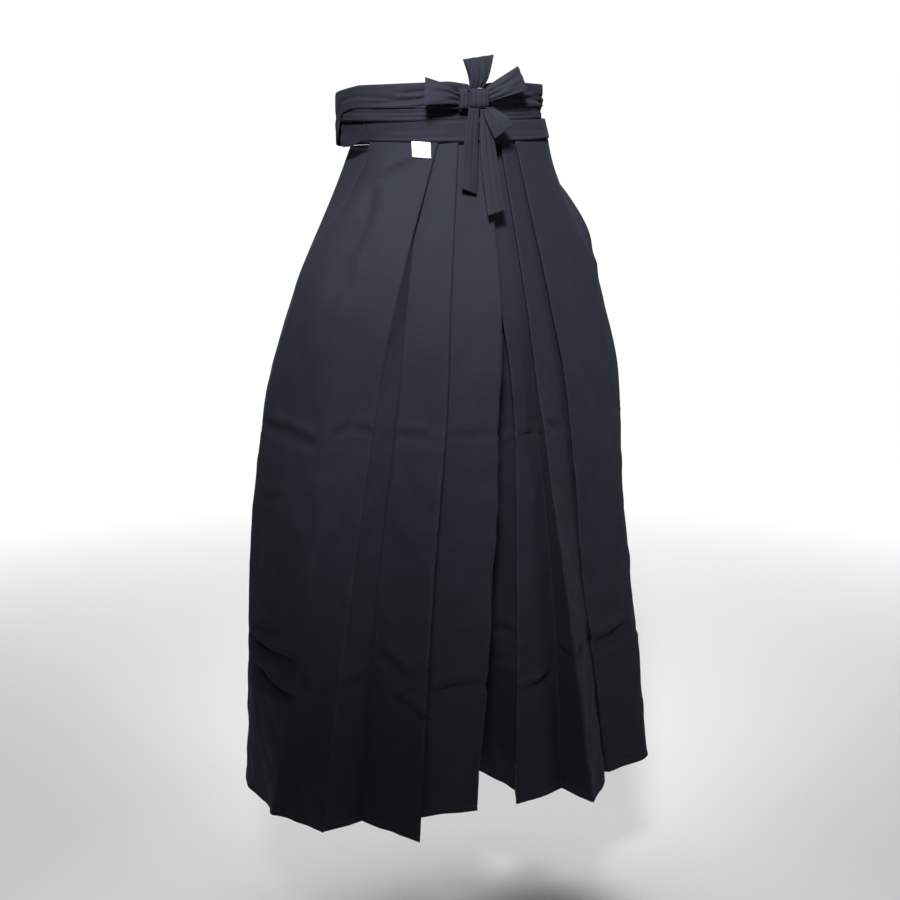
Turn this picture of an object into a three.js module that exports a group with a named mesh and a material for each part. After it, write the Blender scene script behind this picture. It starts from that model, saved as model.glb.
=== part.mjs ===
// Hakama trousers, worn form, hollow. Millimetres, +Z up, the front faces -Y and the wearer's right is -X.
// The origin is the middle of the waist, level with the seam between the front pleats and their band.
import * as THREE from "three";

// ---- driving dimensions -------------------------------------------------------------------------------------------
const CLOTH = 1.2; // wall of a single cloth layer
const SEAM = 0.3; // gap between two pieces that are sewn together
const PITCH = 2.4; // from one layer of a pressed pleat to the next
const WAIST = { halfWidth: 139, halfDepth: 100, x: 0, y: 0 }; // outline of the pleats under the front band
const WRAP = { halfWidth: 144, halfDepth: 106, x: -13, y: 2 }; // looser outline of the wound ties and the back board
const LEVEL = { waist: 0, hip: -204, thigh: -344, knee: -624, hem: -945 }; // heights that the tables give
const CROTCH = -564;
const BACK_TOP = -12; // lower edge of the back board
const LEG_ROWS = [
  ...[0, -50, -100, -150, LEVEL.hip, -270, LEVEL.thigh, -440],
  ...[CROTCH, LEVEL.knee, -674, -724, -774, -824, -874, LEVEL.hem],
];
const UNDERLAP = 16; // hidden depth of a pleat at the waist

const NAVY = { color: 0x171c29, roughness: 0.85, metalness: 0 };
const WHITE = { color: 0xe6e9ea, roughness: 0.7, metalness: 0 };

// ---- fold tables --------------------------------------------------------------------------------------------------
// Each row is one line that runs down the cloth, listed from the side seam to the middle.
// waist: [x, depth behind the waist outline]; hip, thigh, knee, hem: [x, y].
// A pleat has its outer fold (ridge) and its hidden fold (valley); lead is where the next panel comes out at the hem.
const FRONT_RIGHT = [
  { name: "side", waist: [-130, 0], hip: [-232, -10], thigh: [-268, 10], knee: [-292, 35], hem: [-276, 62] },
  { name: "flank", waist: [-122, 0], hip: [-216, -58], thigh: [-246, -46], knee: [-280, -28], hem: [-272, 34] },
  { name: "soft_fold", waist: [-112, 0], hip: [-189, -95], thigh: [-213, -88], knee: [-250, -80], hem: [-280, 5] },
  { name: "soft_dip", waist: [-84, 0], hip: [-160, -103], thigh: [-188, -90], knee: [-224, -77], hem: [-259, -9] },
  {
    name: "outer_pleat",
    ridge: { waist: [-59, 0], hip: [-132, -118], thigh: [-159, -112], knee: [-196, -97], hem: [-231, -75] },
    valley: { hip: [-111, -108], thigh: [-128, -111], knee: [-154, -93], hem: [-170, -67] },
    lead: [-146, -108],
  },
  {
    name: "middle_pleat",
    ridge: { waist: [-34, 0], hip: [-65, -140], thigh: [-75, -150], knee: [-101, -155], hem: [-120, -156] },
    valley: { hip: [-78, -126], thigh: [-88, -136], knee: [-118, -120], hem: [-134, -88] },
    lead: [-87, -89],
  },
  {
    name: "centre_pleat",
    ridge: { waist: [3, 0], hip: [6, -145], thigh: [2, -150], knee: [-1, -137], hem: [-7, -106] },
    valley: { hip: [-28, -124], thigh: [-36, -118], knee: [-46, -92], hem: [-48, -72] },
  },
];
const FRONT_LEFT = [
  { name: "side", waist: [131, 0], hip: [222, -26], thigh: [272, -4], knee: [292, 8], hem: [322, 4] },
  { name: "flank", waist: [116, 0], hip: [192, -54], thigh: [244, -42], knee: [286, -32], hem: [324, -30] },
  { name: "soft_fold", waist: [90, 0], hip: [149, -72], thigh: [196, -66], knee: [264, -60], hem: [318, -59] },
  {
    name: "outer_pleat",
    ridge: { waist: [51, 0], hip: [97, -108], thigh: [129, -107], knee: [170, -92], hem: [229, -78] },
    valley: { hip: [112, -90], thigh: [146, -86], knee: [186, -76], hem: [219, -72] },
    lead: [220, -93],
  },
  {
    name: "middle_pleat",
    ridge: { waist: [27, 0], hip: [53, -125], thigh: [73, -131], knee: [114, -146], hem: [158, -155] },
    valley: { hip: [66, -112], thigh: [79, -106], knee: [112, -104], hem: [138, -97] },
    lead: [100, -110],
  },
  {
    name: "centre_pleat",
    ridge: { waist: [-6, 7.5], hip: [15, -123], thigh: [38, -122], knee: [50, -116], hem: [54, -113] },
    valley: { hip: [44, -110], thigh: [66, -98], knee: [74, -84], hem: [74, -73] },
  },
];
// The backs hang from the back board, one pleat each. Their waist values are [x, y].
const BACK_RIGHT = [
  { name: "side", waist: [-118, -10], hip: [-232, -10], thigh: [-268, 10], knee: [-292, 35], hem: [-276, 62] },
  { name: "side_round", waist: [-126, 44], hip: [-206, 62], thigh: [-238, 92], knee: [-264, 112], hem: [-284, 129] },
  { name: "back_round", waist: [-100, 80], hip: [-150, 122], thigh: [-182, 150], knee: [-212, 172], hem: [-236, 186] },
  {
    name: "back_pleat",
    ridge: { waist: [-46, 104], hip: [-58, 150], thigh: [-74, 176], knee: [-98, 202], hem: [-116, 214] },
    valley: { waist: [-66, 91], hip: [-78, 137], thigh: [-92, 160], knee: [-112, 180], hem: [-128, 188] },
    lead: [-98, 192],
  },
];
const BACK_LEFT = [
  { name: "side", waist: [120, 12], hip: [222, -26], thigh: [272, -4], knee: [292, 8], hem: [322, 4] },
  { name: "wing", waist: [122, 26], hip: [236, -4], thigh: [276, 30], knee: [294, 44], hem: [324, 54], bulge: 22 },
  { name: "side_round", waist: [114, 48], hip: [224, 52], thigh: [262, 74], knee: [286, 96], hem: [318, 118] },
  { name: "back_round", waist: [88, 82], hip: [158, 122], thigh: [190, 150], knee: [220, 172], hem: [248, 186] },
  {
    name: "back_pleat",
    ridge: { waist: [28, 104], hip: [58, 150], thigh: [74, 176], knee: [98, 202], hem: [116, 214] },
    valley: { waist: [48, 92], hip: [78, 137], thigh: [92, 160], knee: [112, 180], hem: [128, 188] },
    lead: [98, 192],
  },
];
// The middle seams, front and back, are shared by both legs down to the crotch. Rows: [z, x, y].
const MIDDLE_FRONT = {
  shared: [[LEVEL.waist, 0, -85], [LEVEL.hip, 0, -104], [LEVEL.thigh, 2, -98], [CROTCH, 4, -78]],
  hem: { right: [-25, -15], left: [53, 10] },
};
const MIDDLE_BACK = {
  shared: [[LEVEL.waist, -9, 103], [LEVEL.hip, 0, 138], [LEVEL.thigh, 0, 158], [CROTCH, 0, 170]],
  hem: { right: [-34, 160], left: [34, 160] },
};

// ---- small plan geometry ------------------------------------------------------------------------------------------
const LEVELS = ["waist", "hip", "thigh", "knee", "hem"];
const HEIGHTS = LEVELS.map((level) => LEVEL[level]);
const mix = (a, b, t) => a + (b - a) * t;
const mixPoint = (a, b, t) => [mix(a[0], b[0], t), mix(a[1], b[1], t)];

// y of the front waist outline at x, moved back by depth.
const frontY = (x, depth) =>
  WAIST.y - WAIST.halfDepth * Math.sqrt(1 - ((x - WAIST.x) / WAIST.halfWidth) ** 2) + depth;

// Point of an oval outline at an angle from the front middle (degrees, + to the wearer's left), moved out.
function ovalPoint(oval, degrees, out) {
  const a = THREE.MathUtils.degToRad(degrees);
  return [
    oval.x + (oval.halfWidth + out) * Math.sin(a),
    oval.y - (oval.halfDepth + out) * Math.cos(a),
  ];
}

// Value of a short list of [position, value] rows at a position between them, along a straight line.
function along(rows, position) {
  let i = 0;
  while (i < rows.length - 2 && position > rows[i + 1][0]) i++;
  const [[p0, v0], [p1, v1]] = [rows[i], rows[i + 1]];
  return mix(v0, v1, THREE.MathUtils.clamp((position - p0) / (p1 - p0), 0, 1));
}

// ---- sections of a panel at the five table heights -----------------------------------------------------------------
// One pleat at one height as five points: two round the outer fold, two round the hidden fold, one where the next
// panel leaves it. back is +1 where behind means +Y (a front) and -1 where it means -Y (a back).
// toMiddle is the sign of x towards the middle.
function pleatSection(row, level, next, toMiddle, back, previous) {
  const ridge = row.ridge[level];
  const front = level === "waist" && back > 0;
  let valley;
  if (front) {
    // The hidden fold lies one layer behind the panel that covers it.
    const x = ridge[0] - toMiddle * UNDERLAP;
    const cover = previous ? along([[0, ridge[1]], [Math.abs(ridge[0] - previous[0]), previous[1]]], UNDERLAP) : 0;
    valley = [x, cover + PITCH];
  } else valley = row.valley[level];
  const opened = toMiddle * (valley[0] - ridge[0]) > -4;
  const step = opened ? [toMiddle * PITCH * 0.7, back * PITCH * 0.7] : [0, back * PITCH];
  const ridgeEnd = [ridge[0] + step[0], ridge[1] + step[1]];
  const half = PITCH / 2;
  const valleyStart = opened ? [valley[0] - toMiddle * half, valley[1]] : valley;
  const valleyEnd = opened ? [valley[0] + toMiddle * half, valley[1] + step[1]] : [valley[0], valley[1] + step[1]];
  const points = [ridge, ridgeEnd, valleyStart, valleyEnd];
  if (next) {
    let lead = level === "hem" ? row.lead : null;
    if (!lead) {
      const x = toMiddle * (Math.max(toMiddle * ridge[0], toMiddle * valley[0]) + 5);
      const t = THREE.MathUtils.clamp((x - valleyEnd[0]) / (next[0] - valleyEnd[0]), 0, 1);
      const line = mix(valleyEnd[1], next[1], t);
      const covered = front ? valleyEnd[1] : ridge[1] + back * 2.5 * PITCH;
      lead = [x, back * Math.max(back * line, back * covered)];
    }
    points.push(lead);
  }
  return points;
}

// All the points of a panel's section at a table height, apart from the middle seam.
function panelSection(rows, level, toMiddle, back) {
  const points = [];
  const firstOf = (row) => (row.ridge ? row.ridge[level] : row[level]);
  rows.forEach((row, i) => {
    if (!row.ridge) points.push(row[level]);
    else {
      const next = i + 1 < rows.length ? firstOf(rows[i + 1]) : null;
      points.push(...pleatSection(row, level, next, toMiddle, back, points[points.length - 1]));
    }
  });
  if (level === "waist" && back > 0) return points.map(([x, depth]) => [x, frontY(x, depth)]);
  return points;
}

// Weights of the values at falling heights, for a smooth curve through them at height z.
function curveWeights(heights, z) {
  let i = 0;
  while (i < heights.length - 2 && z < heights[i + 1]) i++;
  const span = heights[i + 1] - heights[i];
  const t = (z - heights[i]) / span;
  const before = Math.max(i - 1, 0);
  const after = Math.min(i + 2, heights.length - 1);
  const slopeIn = ((t ** 3 - 2 * t ** 2 + t) * span) / (heights[i + 1] - heights[before]);
  const slopeOut = ((t ** 3 - t ** 2) * span) / (heights[after] - heights[i]);
  const rise = 3 * t ** 2 - 2 * t ** 3;
  const weights = heights.map(() => 0);
  weights[i] += 1 - rise - slopeOut;
  weights[i + 1] += rise + slopeIn;
  weights[before] -= slopeIn;
  weights[after] += slopeOut;
  return weights;
}

const weighted = (points, weights) =>
  [0, 1].map((axis) => points.reduce((sum, point, i) => sum + weights[i] * point[axis], 0));

// The section at any height. Every point has the same weights, so layers that clear each other at two
// table heights clear each other between them.
function sectionAt(sections, z) {
  const weights = curveWeights(HEIGHTS, z);
  return sections[0].map((_, k) => weighted(sections.map((section) => section[k]), weights));
}

// A panel's side edge: down the slit to the hip, steeper at first, then the curved side seam that front and
// back share.
function sideAt(points, z) {
  const t = z / LEVEL.hip;
  if (t <= 1) return mixPoint(points[0], points[1], t - 0.08 * Math.sin(2 * Math.PI * t));
  return weighted(points.slice(1), curveWeights(HEIGHTS.slice(1), z));
}

// A leg's middle edge: the shared seam down to the crotch, then straight down the inside of the leg.
function middleAt(middle, side, z) {
  const heights = middle.shared.map((row) => row[0]);
  const points = middle.shared.map((row) => row.slice(1));
  if (z >= CROTCH) return weighted(points, curveWeights(heights, z));
  const hem = side < 0 ? middle.hem.right : middle.hem.left;
  return mixPoint(points[points.length - 1], hem, (z - CROTCH) / (LEVEL.hem - CROTCH));
}

// ---- walls ---------------------------------------------------------------------------------------------------------
// Offsets a plan line to one side by a distance, mitred at its corners. ends gives the normal at each end, or null.
function offsetLine(line, distance, ends) {
  const normals = line.slice(1).map(([x, y], i) => {
    const [dx, dy] = [x - line[i][0], y - line[i][1]];
    const length = Math.hypot(dx, dy);
    return [dy / length, -dx / length];
  });
  return line.map(([x, y], i) => {
    const a = normals[Math.max(i - 1, 0)];
    const b = normals[Math.min(i, normals.length - 1)];
    if (i === 0 && ends[0]) return [x + ends[0][0] * distance, y + ends[0][1] * distance];
    if (i === line.length - 1 && ends[1]) return [x + ends[1][0] * distance, y + ends[1][1] * distance];
    const sum = [a[0] + b[0], a[1] + b[1]];
    const scale = distance / Math.max(1 + a[0] * b[0] + a[1] * b[1], 0.5);
    return [x + sum[0] * scale, y + sum[1] * scale];
  });
}

// Closed mesh between two grids of points of the same size: two faces and the four edges between them.
function wallBetween(outer, inner) {
  const rows = outer.length;
  const columns = outer[0].length;
  const points = [...outer.flat(), ...inner.flat()];
  const at = (layer, r, c) => (layer * rows + r) * columns + c;
  const faces = [];
  const quad = (a, b, c, d) => faces.push(a, b, c, a, c, d);
  for (let r = 0; r < rows - 1; r++)
    for (let c = 0; c < columns - 1; c++) {
      quad(at(0, r, c), at(0, r, c + 1), at(0, r + 1, c + 1), at(0, r + 1, c));
      quad(at(1, r, c), at(1, r + 1, c), at(1, r + 1, c + 1), at(1, r, c + 1));
    }
  for (let r = 0; r < rows - 1; r++) {
    quad(at(0, r, 0), at(0, r + 1, 0), at(1, r + 1, 0), at(1, r, 0));
    quad(at(0, r + 1, columns - 1), at(0, r, columns - 1), at(1, r, columns - 1), at(1, r + 1, columns - 1));
  }
  for (let c = 0; c < columns - 1; c++) {
    quad(at(0, 0, c + 1), at(0, 0, c), at(1, 0, c), at(1, 0, c + 1));
    quad(at(0, rows - 1, c), at(0, rows - 1, c + 1), at(1, rows - 1, c + 1), at(1, rows - 1, c));
  }
  const geometry = new THREE.BufferGeometry();
  geometry.setAttribute("position", new THREE.Float32BufferAttribute(points.flat(), 3));
  geometry.setIndex(faces);
  // Turned round where the grid's order makes the faces point in.
  if (signedVolume(points, faces) < 0) {
    for (let i = 0; i < faces.length; i += 3) [faces[i + 1], faces[i + 2]] = [faces[i + 2], faces[i + 1]];
    geometry.setIndex(faces);
  }
  geometry.computeVertexNormals();
  return geometry;
}

function signedVolume(points, faces) {
  let volume = 0;
  const [a, b, c] = [new THREE.Vector3(), new THREE.Vector3(), new THREE.Vector3()];
  for (let i = 0; i < faces.length; i += 3) {
    a.fromArray(points[faces[i]]);
    b.fromArray(points[faces[i + 1]]);
    c.fromArray(points[faces[i + 2]]);
    volume += a.dot(b.cross(c)) / 6;
  }
  return volume;
}

// Wall of upright cloth: one plan line per height. endsAt gives offsetLine's ends at a height.
function uprightWall(lines, heights, thickness, endsAt) {
  const side = (sign) =>
    lines.map((line, r) =>
      offsetLine(line, (sign * thickness) / 2, endsAt(heights[r])).map(([x, y]) => [x, y, heights[r]]),
    );
  return wallBetween(side(1), side(-1));
}

// Wall of cloth round any grid of points, offset along the grid's own normals.
function softWall(grid, thickness) {
  const vector = (r, c) => new THREE.Vector3(...grid[r][c]);
  const rows = grid.length;
  const columns = grid[0].length;
  const side = (sign) =>
    grid.map((line, r) =>
      line.map((_, c) => {
        const down = vector(Math.min(r + 1, rows - 1), c).sub(vector(Math.max(r - 1, 0), c));
        const across = vector(r, Math.min(c + 1, columns - 1)).sub(vector(r, Math.max(c - 1, 0)));
        const normal = down.cross(across).normalize();
        return vector(r, c).addScaledVector(normal, (sign * thickness) / 2).toArray();
      }),
    );
  return wallBetween(side(1), side(-1));
}

const hakama = new THREE.Group();
function addPiece(name, geometry, finish = NAVY) {
  const mesh = new THREE.Mesh(geometry, new THREE.MeshStandardMaterial(finish));
  mesh.name = name;
  hakama.add(mesh);
}

// ---- panels --------------------------------------------------------------------------------------------------------
// Moves a plan line's first and last points back from the seams they share with their neighbours.
function trimToSeams(line, first, last) {
  const trimmed = line.map((point) => [...point]);
  const end = trimmed.length - 1;
  trimmed[0] = [trimmed[0][0] + first[0], trimmed[0][1] + first[1]];
  trimmed[end] = [trimmed[end][0] + last[0], trimmed[end][1] + last[1]];
  return trimmed;
}

// side is -1 for the wearer's right and +1 for the left; back is +1 for a front panel and -1 for a back panel.
function panel(rows, middle, side, back, heights) {
  const sections = LEVELS.map((level) => panelSection(rows, level, -side, back));
  const sides = sections.map((section) => section[0]);
  const lines = heights.map((z) => {
    const line = [sideAt(sides, z), ...sectionAt(sections, z).slice(1), middleAt(middle, side, z)];
    // A bulging row stands further out and forward beside the slit.
    const swell = Math.sin(Math.PI * THREE.MathUtils.clamp(z / LEVEL.hip, 0, 1));
    rows.forEach(({ bulge = 0 }, i) => (line[i] = [line[i][0] + side * bulge * swell, line[i][1] - bulge * swell]));
    return trimToSeams(line, [0, (-back * SEAM) / 2], [(side * SEAM) / 2, 0]);
  });
  // Cut straight along the seams; the slit's edge, above the hip, is cut square to the cloth.
  return uprightWall(lines, heights, CLOTH, (z) => [z > LEVEL.hip ? null : [-back, 0], [0, side]]);
}

const frontRows = LEG_ROWS.map((z) => (z === 0 ? -SEAM : z));
const backRows = LEG_ROWS.map((z) => (z === 0 ? BACK_TOP - SEAM : z));
addPiece("front_panel_right", panel(FRONT_RIGHT, MIDDLE_FRONT, -1, 1, frontRows));
addPiece("front_panel_left", panel(FRONT_LEFT, MIDDLE_FRONT, 1, 1, frontRows));
addPiece("back_panel_right", panel(BACK_RIGHT, MIDDLE_BACK, -1, -1, backRows));
addPiece("back_panel_left", panel(BACK_LEFT, MIDDLE_BACK, 1, -1, backRows));

// Inner leg: upright cloth from the middle end of a front panel to the middle end of its back panel.
function gusset(side) {
  const heights = LEG_ROWS.filter((z) => z <= CROTCH);
  const lines = heights.map((z) => {
    const inset = side * (SEAM + CLOTH) * 0.5;
    const clear = CLOTH / 2 + SEAM;
    const [fx, fy] = middleAt(MIDDLE_FRONT, side, z);
    const [bx, by] = middleAt(MIDDLE_BACK, side, z);
    const start = [fx + inset, fy + clear];
    const end = [bx + inset, by - clear];
    const bulge = side * 0.03 * (CROTCH - z);
    return [0, 0.25, 0.5, 0.75, 1].map((t) => {
      const [x, y] = mixPoint(start, end, t);
      return [x + bulge * Math.sin(Math.PI * t), y];
    });
  });
  return uprightWall(lines, heights, CLOTH, () => [[1, 0], [1, 0]]);
}
addPiece("gusset_right", gusset(-1));
addPiece("gusset_left", gusset(1));

// ---- bands and ties ------------------------------------------------------------------------------------------------
// A band wound round the waist: rows of [angle, moved out, lower z, upper z] on an oval that may change from
// the pleats' outline to the wound ties' outline (share 0 to 1 in the fifth column).
function band(rows, thickness, steps) {
  const column = (k) => rows.map((row) => [row[0], row[k]]);
  const first = rows[0][0];
  const last = rows[rows.length - 1][0];
  const pointAt = (i) => {
    const angle = mix(first, last, i / steps);
    const share = along(column(4), angle);
    const out = along(column(1), angle);
    return { angle, plan: mixPoint(ovalPoint(WAIST, angle, out), ovalPoint(WRAP, angle, out), share) };
  };
  const stations = Array.from({ length: steps + 1 }, (_, i) => pointAt(i));
  const line = stations.map(({ plan }) => plan);
  const face = (sign) => offsetLine(line, (sign * thickness) / 2, [null, null]);
  const rise = (plan, k) => plan.map(([x, y], i) => [x, y, along(column(k), stations[i].angle)]);
  const grid = (plan) => [rise(plan, 2), rise(plan, 3)];
  return wallBetween(grid(face(1)), grid(face(-1)));
}

const BAND_TOP = 24;
const TURN = { low: BAND_TOP + SEAM, high: 40 };
const UPPER = { low: 40.3, high: 70 };
const BAND_EDGE = 69; // the front band ends at this angle, where the side slits start
// Columns: angle, out, lower z, upper z, share of the wound outline.
const FRONT_BAND = [
  [-BAND_EDGE, 0.6, 0, BAND_TOP, 0],
  [BAND_EDGE, 0.6, 0, BAND_TOP, 0],
];
addPiece("front_waistband", band(FRONT_BAND, 3, 24));

// Mirrored copy of a band table: the angles change sign and keep rising.
const mirrored = (rows) => rows.map(([angle, ...rest]) => [-angle, ...rest]).reverse();
const FIRST_TURN = [
  [BAND_EDGE + 0.7, 0, 0.3, BAND_TOP - 0.3, 0],
  [78, -0.5, -1, 23.7, 0.2],
  [86, -3.5, -5, 23.6, 0.5],
  [96, -5, -4, 23.4, 0.9],
  [120, -5.4, 4, 23, 1],
  [179.8, -5.4, 5, 23, 1],
];
addPiece("front_tie_right", band(mirrored(FIRST_TURN), 1.6, 14));
addPiece("front_tie_left", band(FIRST_TURN, 1.6, 14));
const SECOND_TURN = [
  [0.2, -1.2, TURN.low, TURN.high, 1],
  [60, -1.4, TURN.low, TURN.high, 1],
  [110, -3.2, TURN.low, TURN.high, 1],
  [179.8, -4.2, TURN.low, TURN.high, 1],
];
addPiece("front_tie_turn_right", band(mirrored(SECOND_TURN), 2.2, 18));
addPiece("front_tie_turn_left", band(SECOND_TURN, 2.2, 18));
const BOARD_EDGE = 122; // the back board ends at this angle
const UPPER_TURN = [
  [7, 0, UPPER.low + 1, UPPER.high - 4, 1],
  [14, 0, UPPER.low, UPPER.high, 1],
  [70, 0, UPPER.low, UPPER.high - 2, 1],
  [88, 0.3, 32, 64, 1],
  [96, 0.6, 4, 61, 1],
  [104, 0.8, -8, 57, 1],
  [BOARD_EDGE - 0.2, 0.8, BACK_TOP, 46, 1],
];
addPiece("back_tie_right", band(mirrored(UPPER_TURN), 1.6, 20));
addPiece("back_tie_left", band(UPPER_TURN, 1.6, 20));
const BACK_BOARD = [
  [BOARD_EDGE, 1.2, BACK_TOP, 46, 1],
  [BOARD_EDGE + 22, 1.2, BACK_TOP, 68, 1],
  [360 - BOARD_EDGE - 22, 1.2, BACK_TOP, 68, 1],
  [360 - BOARD_EDGE, 1.2, BACK_TOP, 46, 1],
];
addPiece("back_waistband", band(BACK_BOARD, 4, 20));

// ---- bow -----------------------------------------------------------------------------------------------------------
// A strip along stations of { at, half }: the middle of the strip and the vector from it to the edge that is
// its own right when it is seen with its path running away. crown lifts its middle line towards the viewer.
function strip(stations, thickness, crown, steps) {
  const middle = new THREE.CatmullRomCurve3(stations.map(({ at }) => new THREE.Vector3(...at)), false, "centripetal");
  const halves = new THREE.CatmullRomCurve3(
    stations.map(({ half }) => new THREE.Vector3(...half)), false, "centripetal",
  );
  const grid = Array.from({ length: steps + 1 }, (_, i) => {
    const t = i / steps;
    const at = middle.getPoint(t);
    const half = halves.getPoint(t);
    const lift = new THREE.Vector3().crossVectors(middle.getTangent(t), half).normalize();
    return [-1, -0.5, 0, 0.5, 1].map((across) =>
      at.clone().addScaledVector(half, across).addScaledVector(lift, crown * (1 - across ** 2)).toArray(),
    );
  });
  return softWall(grid, thickness);
}

const KNOT = { x: -16, y: -120, z: 53 };
// Places of the bow's stations are given from the knot's middle.
const fromKnot = (stations) =>
  stations.map(([dx, dy, dz, hx, hy, hz]) => ({ at: [KNOT.x + dx, KNOT.y + dy, KNOT.z + dz], half: [hx, hy, hz] }));

// The knot is a squared, pinched block of wound cloth.
function knotBlock(centre, half, pinch) {
  const around = 12;
  const rings = [-1, -0.8, -0.3, 0.3, 0.8, 1];
  const exponent = 0.55;
  const soft = (v) => Math.sign(v) * Math.abs(v) ** exponent;
  const ring = (u) =>
    Array.from({ length: around }, (_, i) => {
      const a = (2 * Math.PI * i) / around;
      const size = (Math.abs(u) === 1 ? 0.72 : 1) * (1 + pinch * u * u);
      return [
        centre[0] + half[0] * size * soft(Math.cos(a)),
        centre[1] + half[1] * size * soft(Math.sin(a)),
        centre[2] + half[2] * u,
      ];
    });
  const grid = rings.map(ring);
  const points = grid.flat();
  const faces = [];
  for (let r = 0; r < rings.length - 1; r++)
    for (let i = 0; i < around; i++) {
      const [a, b] = [r * around + i, r * around + ((i + 1) % around)];
      faces.push(a, b, b + around, a, b + around, a + around);
    }
  for (let i = 1; i < around - 1; i++) {
    const top = (rings.length - 1) * around;
    faces.push(0, i + 1, i, top, top + i, top + i + 1);
  }
  const geometry = new THREE.BufferGeometry();
  geometry.setAttribute("position", new THREE.Float32BufferAttribute(points.flat(), 3));
  geometry.setIndex(faces);
  geometry.computeVertexNormals();
  return geometry;
}
addPiece("knot", knotBlock([KNOT.x, KNOT.y, KNOT.z], [13, 8, 12], 0));
addPiece("knot_roll", knotBlock([KNOT.x - 20.5, KNOT.y + 3, KNOT.z - 0.5], [6.5, 6, 13], -0.1));

// Columns of a strip station: dx, dy, dz from the knot, then the vector to the strip's edge.
addPiece("loop_top", strip(fromKnot([
  [-2, 2, 13.5, 9, 2, 0],
  [0, -2, 26, 12, 3, -2],
  [1, -5, 50, 19, 5, 3],
]), 4, 3, 6));
addPiece("loop_left", strip(fromKnot([
  [-28.5, 2, 1, 0, 2, 9],
  [-46, -3, 6, -1, 3, 12],
  [-72, -3, 9, 2, 4, 17],
]), 4, 3, 6));
addPiece("loop_right", strip(fromKnot([
  [14.5, 2, 4, 2, -2, -8],
  [32, -2, 13, 4, -3, -11],
  [60, 2, 23, 6, -3, -14],
]), 4, 3, 6));
addPiece("end_lower", strip(fromKnot([
  [10, -4, -14, 9, 0, 2],
  [18, -5, -26, 11, -1, 5],
  [29, -6, -41, 9, -2, 8],
]), 2, 1.5, 5));
addPiece("tail_left", strip(fromKnot([
  [-8, -3, -13.5, 8, 0, 0],
  [-10, 1, -60, 10, 0, 1],
  [-12, 2, -117, 11, 0, 5],
]), 1.6, 1, 8));
addPiece("tail_right", strip(fromKnot([
  [8, -12, -16, 9, 0, 0],
  [9, -15, -70, 11, 0, 0],
  [17, -22, -146, 13, 0, -4],
]), 1.6, 1, 8));

// ---- label ---------------------------------------------------------------------------------------------------------
const LABEL = { width: 22, height: 20, x: -81, z: -11.6, tilt: 5, proud: 2.2, thickness: 1 };
function labelWall() {
  const tilt = THREE.MathUtils.degToRad(LABEL.tilt);
  const sections = LEVELS.map((level) => panelSection(FRONT_RIGHT, level, 1, 1));
  const yAt = (x, z) => along(sectionAt(sections, z).slice(0, 5), x);
  const grid = [1, 0, -1].map((v) =>
    [-1, -0.5, 0, 0.5, 1].map((u) => {
      const dx = (u * LABEL.width) / 2;
      const dz = (v * LABEL.height) / 2;
      const x = LABEL.x + dx * Math.cos(tilt) + dz * Math.sin(tilt);
      const z = LABEL.z - dx * Math.sin(tilt) + dz * Math.cos(tilt);
      return [x, yAt(x, Math.min(z, 0)) - LABEL.proud - LABEL.thickness / 2, z];
    }),
  );
  return softWall(grid, LABEL.thickness);
}
addPiece("label", labelWall(), WHITE);

export default hakama;
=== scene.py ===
"""Hakama trousers, worn form, in dark navy plain weave with a front bow. Lengths in tables are millimetres."""
import math

import bpy
import numpy as np
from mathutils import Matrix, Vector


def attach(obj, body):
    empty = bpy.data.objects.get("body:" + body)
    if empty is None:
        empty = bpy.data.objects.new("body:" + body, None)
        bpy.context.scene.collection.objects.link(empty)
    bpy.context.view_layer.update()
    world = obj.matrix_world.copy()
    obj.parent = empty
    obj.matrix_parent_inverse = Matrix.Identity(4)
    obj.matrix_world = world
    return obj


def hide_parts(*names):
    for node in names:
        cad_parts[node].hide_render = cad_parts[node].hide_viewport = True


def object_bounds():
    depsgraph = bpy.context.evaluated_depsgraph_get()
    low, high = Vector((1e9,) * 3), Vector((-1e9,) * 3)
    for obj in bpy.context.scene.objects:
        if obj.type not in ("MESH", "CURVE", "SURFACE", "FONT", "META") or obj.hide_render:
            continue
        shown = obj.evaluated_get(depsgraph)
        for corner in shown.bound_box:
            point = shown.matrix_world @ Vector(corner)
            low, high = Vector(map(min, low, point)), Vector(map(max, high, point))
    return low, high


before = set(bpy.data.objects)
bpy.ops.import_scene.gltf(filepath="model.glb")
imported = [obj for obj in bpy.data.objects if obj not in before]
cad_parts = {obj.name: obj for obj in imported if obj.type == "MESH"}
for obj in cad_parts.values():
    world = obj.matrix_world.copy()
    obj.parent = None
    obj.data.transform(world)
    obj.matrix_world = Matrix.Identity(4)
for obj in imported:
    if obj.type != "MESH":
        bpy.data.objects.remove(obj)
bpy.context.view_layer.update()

MM = 0.001

# ---- sizes -----------------------------------------------------------------------------------------------------------
CLOTH = 1.1  # finished wall of the panels
SEAM = 0.3
PITCH = 2.4  # from one layer of a pressed pleat to the next
UNDERLAP = 16
WAIST = dict(half_width=139, half_depth=100, x=0, y=0)
WRAP = dict(half_width=144, half_depth=106, x=-13, y=2)
LEVEL = dict(waist=0, hip=-204, thigh=-344, knee=-624, hem=-945)
CROTCH = -564
BACK_TOP = -12
STEP_ACROSS = 5.0
STEP_DOWN = 6.0

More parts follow.
